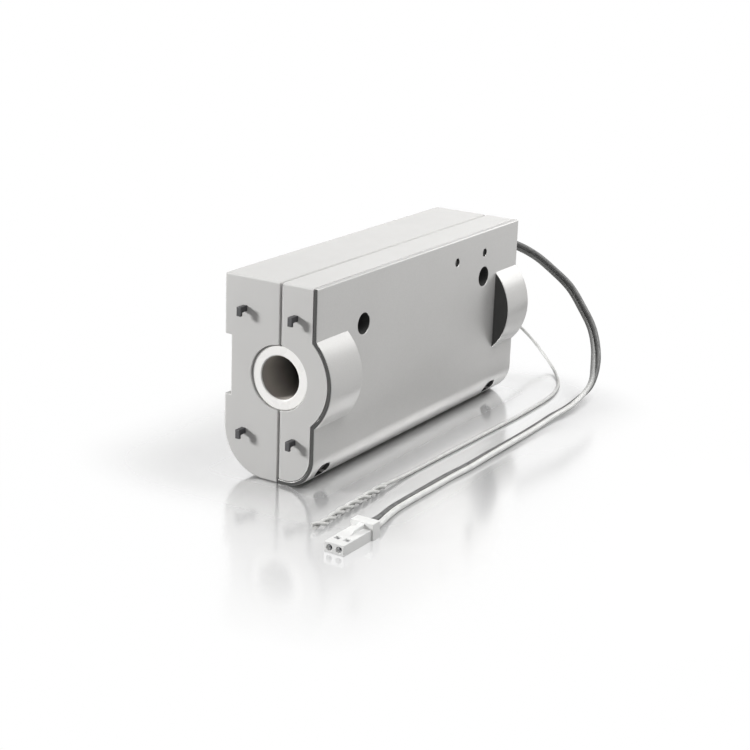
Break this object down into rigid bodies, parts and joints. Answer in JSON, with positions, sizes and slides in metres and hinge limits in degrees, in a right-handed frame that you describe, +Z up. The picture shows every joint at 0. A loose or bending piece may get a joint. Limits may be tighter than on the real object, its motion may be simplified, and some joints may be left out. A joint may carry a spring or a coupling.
{
  "type": "venetian blind motor",
  "caption": "Slim upright blind motor housing with a hollow drive tube across it, a two part shell under a wrapped silver cover, and a flat power lead and an aerial wire.",
  "frame": {"origin": "centre of the bounding box at the base, measured without the leads: halfway along and across the housing, on the surface that it stands on", "axes": "+X along the drive tube from the near end to the far end that the leads leave, +Y from the silver front cover to the rear, +Z up"},
  "size_m": [0.1581, 0.0537, 0.05],
  "materials": {
    "black_plastic": "moulded",
    "board_green": "solder mask over glass fibre board",
    "brass": "machined",
    "bush_white": "smooth acetal",
    "button_black": "moulded",
    "cable_grey": "twin insulation, one core dark and one light",
    "capacitor_sleeve": "shrink sleeve",
    "connector_white": "moulded nylon",
    "copper": "enamelled copper",
    "cover_silver": "satin silver paint on the outside of a dark moulding, whose edges stay dark",
    "gear_nylon": "moulded nylon",
    "gear_steel": "machined",
    "header_white": "nylon",
    "hook_dark": "matt",
    "lamination": "stamped sheets",
    "lead_red": "lead insulation",
    "led_lens": "clear red epoxy",
    "light_pipe_smoke": "smoked acrylic",
    "magnet": "sintered ferrite",
    "plated_steel": "tin plate",
    "plunger_cream": "moulded",
    "rubber_black": "matt",
    "screw_black": "black oxide",
    "shaft_steel": "ground",
    "shell_grey": "fine matt moulded plastic",
    "sintered_bronze": "sintered",
    "tube_grey": "matt",
    "wire_white": "lead insulation"
  },
  "bodies": {
    "housing": {"front_cover": "cover_silver", "front_shell": "shell_grey", "rear_shell": "shell_grey", "end_hooks": "hook_dark", "upper_screws": "screw_black", "lower_screws": "screw_black", "motor_can": "plated_steel", "motor_end_cap": "black_plastic", "motor_magnets": "magnet", "motor_bearings": "sintered_bronze", "motor_brushes": "copper", "motor_dampers": "rubber_black", "gearhead_housing": "gear_steel", "circuit_board": "board_green", "control_chip": "black_plastic", "driver_chip": "black_plastic", "radio_module": "plated_steel", "board_capacitors": "capacitor_sleeve", "hall_sensor": "black_plastic", "switch_body": "black_plastic", "indicator_led": "led_lens", "light_pipe": "light_pipe_smoke", "power_header": "header_white", "motor_leads": "lead_red", "power_lead_inner": "cable_grey", "aerial_lead_inner": "wire_white", "power_grommet": "rubber_black", "aerial_grommet": "rubber_black", "power_cable": "cable_grey", "power_connector": "connector_white", "connector_contacts": "plated_steel", "aerial_wire": "wire_white", "aerial_twist": "wire_white"},
    "output_shaft": {"drive_tube": "tube_grey", "near_bush": "bush_white", "far_bush": "bush_white", "output_gear": "gear_nylon", "magnet_ring": "magnet"},
    "rotor": {"motor_shaft": "shaft_steel", "armature_core": "lamination", "armature_coils": "copper", "commutator": "copper", "stage_one_sun": "brass"},
    "first_carrier": {"stage_one_carrier": "gear_steel", "stage_two_sun": "brass"},
    "second_carrier": {"stage_two_carrier": "gear_steel", "gearhead_shaft": "shaft_steel", "drive_pinion": "brass"},
    "button": {"program_button": "button_black", "switch_plunger": "plunger_cream"},
    "planet_one_a": {"stage_one_planet_a": "gear_nylon"},
    "planet_one_b": {"stage_one_planet_b": "gear_nylon"},
    "planet_one_c": {"stage_one_planet_c": "gear_nylon"},
    "planet_two_a": {"stage_two_planet_a": "gear_nylon"},
    "planet_two_b": {"stage_two_planet_b": "gear_nylon"},
    "planet_two_c": {"stage_two_planet_c": "gear_nylon"}
  },
  "joints": [
    {"name": "rotor_spin", "type": "hinge", "parent": "housing", "child": "rotor", "pos_m": [-0.006, 0.00175, 0.01127], "axis": [1, 0, 0], "continuous": true},
    {"name": "output_spin", "type": "hinge", "parent": "housing", "child": "output_shaft", "pos_m": [0, -0.0005, 0.0265], "axis": [1, 0, 0], "continuous": true},
    {"name": "first_carrier_spin", "type": "hinge", "parent": "housing", "child": "first_carrier", "pos_m": [-0.0282, 0.00175, 0.01127], "axis": [1, 0, 0], "continuous": true},
    {"name": "second_carrier_spin", "type": "hinge", "parent": "housing", "child": "second_carrier", "pos_m": [-0.0335, 0.00175, 0.01127], "axis": [1, 0, 0], "continuous": true},
    {"name": "planet_one_a_spin", "type": "hinge", "parent": "first_carrier", "child": "planet_one_a", "pos_m": [-0.0259, 0.00175, 0.01535], "axis": [1, 0, 0], "continuous": true},
    {"name": "planet_one_b_spin", "type": "hinge", "parent": "first_carrier", "child": "planet_one_b", "pos_m": [-0.0259, -0.00178, 0.00923], "axis": [1, 0, 0], "continuous": true},
    {"name": "planet_one_c_spin", "type": "hinge", "parent": "first_carrier", "child": "planet_one_c", "pos_m": [-0.0259, 0.00528, 0.00923], "axis": [1, 0, 0], "continuous": true},
    {"name": "planet_two_a_spin", "type": "hinge", "parent": "second_carrier", "child": "planet_two_a", "pos_m": [-0.0312, 0.00175, 0.01535], "axis": [1, 0, 0], "continuous": true},
    {"name": "planet_two_b_spin", "type": "hinge", "parent": "second_carrier", "child": "planet_two_b", "pos_m": [-0.0312, -0.00178, 0.00923], "axis": [1, 0, 0], "continuous": true},
    {"name": "planet_two_c_spin", "type": "hinge", "parent": "second_carrier", "child": "planet_two_c", "pos_m": [-0.0312, 0.00528, 0.00923], "axis": [1, 0, 0], "continuous": true},
    {"name": "button_press", "type": "slide", "parent": "housing", "child": "button", "axis": [0, 1, 0], "range_m": [0, 0.0004], "stiffness_N_per_m": 4000}
  ],
  "couplings": [
    {"joint": "output_spin", "follows": "rotor_spin", "ratio": -0.01034},
    {"joint": "first_carrier_spin", "follows": "rotor_spin", "ratio": 0.1875},
    {"joint": "second_carrier_spin", "follows": "rotor_spin", "ratio": 0.035156},
    {"joint": "planet_one_a_spin", "follows": "rotor_spin", "ratio": -0.4875},
    {"joint": "planet_one_b_spin", "follows": "rotor_spin", "ratio": -0.4875},
    {"joint": "planet_one_c_spin", "follows": "rotor_spin", "ratio": -0.4875},
    {"joint": "planet_two_a_spin", "follows": "rotor_spin", "ratio": -0.091406},
    {"joint": "planet_two_b_spin", "follows": "rotor_spin", "ratio": -0.091406},
    {"joint": "planet_two_c_spin", "follows": "rotor_spin", "ratio": -0.091406}
  ]
}
